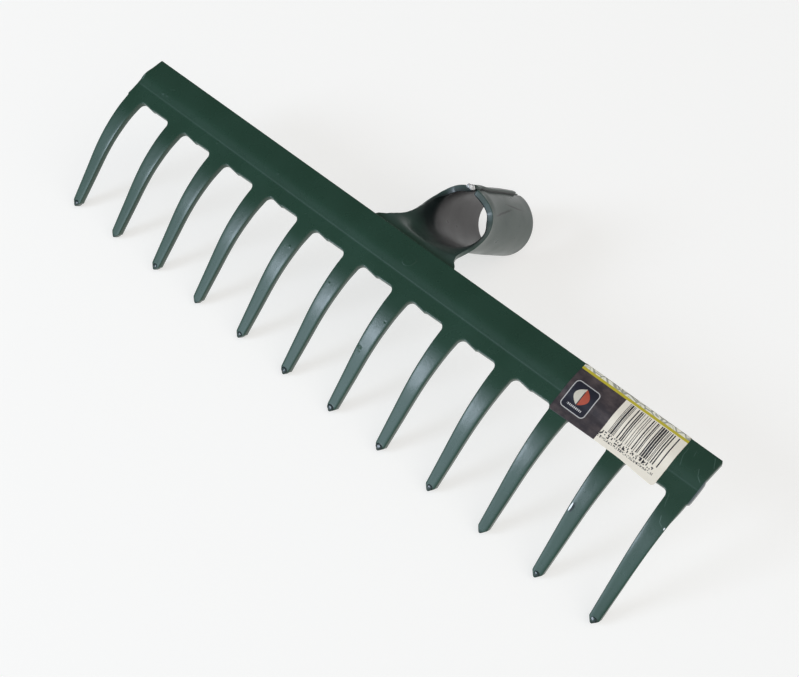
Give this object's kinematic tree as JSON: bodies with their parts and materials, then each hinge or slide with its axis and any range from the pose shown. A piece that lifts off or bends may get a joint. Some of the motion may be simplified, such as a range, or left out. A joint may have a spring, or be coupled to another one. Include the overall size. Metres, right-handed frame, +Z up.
{
  "type": "bow rake head",
  "caption": "Straight garden rake head: curved pressed tines on a ribbed bar, with a rolled tapering handle socket welded under its back edge.",
  "frame": {"origin": "on the table under the middle of the resting head's bounding box", "axes": "+X along the bar, +Y from the tine tips towards the socket's mouth, +Z up from the table; the head rests on its tine tips and on the rim of the socket's mouth"},
  "size_m": [0.3404, 0.1486, 0.0599],
  "materials": {
    "head_paint": "dark green gloss dip paint",
    "socket_paint": "thin dark green-grey paint, glossy",
    "weld_metal": "bare bright weld metal",
    "label_paper": "printed coated paper label"
  },
  "bodies": {
    "root": {"head_bar": "head_paint", "socket_tube": "socket_paint", "socket_neck": "socket_paint", "spot_weld": "head_paint", "neck_weld": "socket_paint", "seam_weld": "weld_metal", "paper_label": "label_paper", "tine_01": "head_paint", "tine_02": "head_paint", "tine_03": "head_paint", "tine_04": "head_paint", "tine_05": "head_paint", "tine_06": "head_paint", "tine_07": "head_paint", "tine_08": "head_paint", "tine_09": "head_paint", "tine_10": "head_paint", "tine_11": "head_paint", "tine_12": "head_paint"}
  },
  "joints": []
}
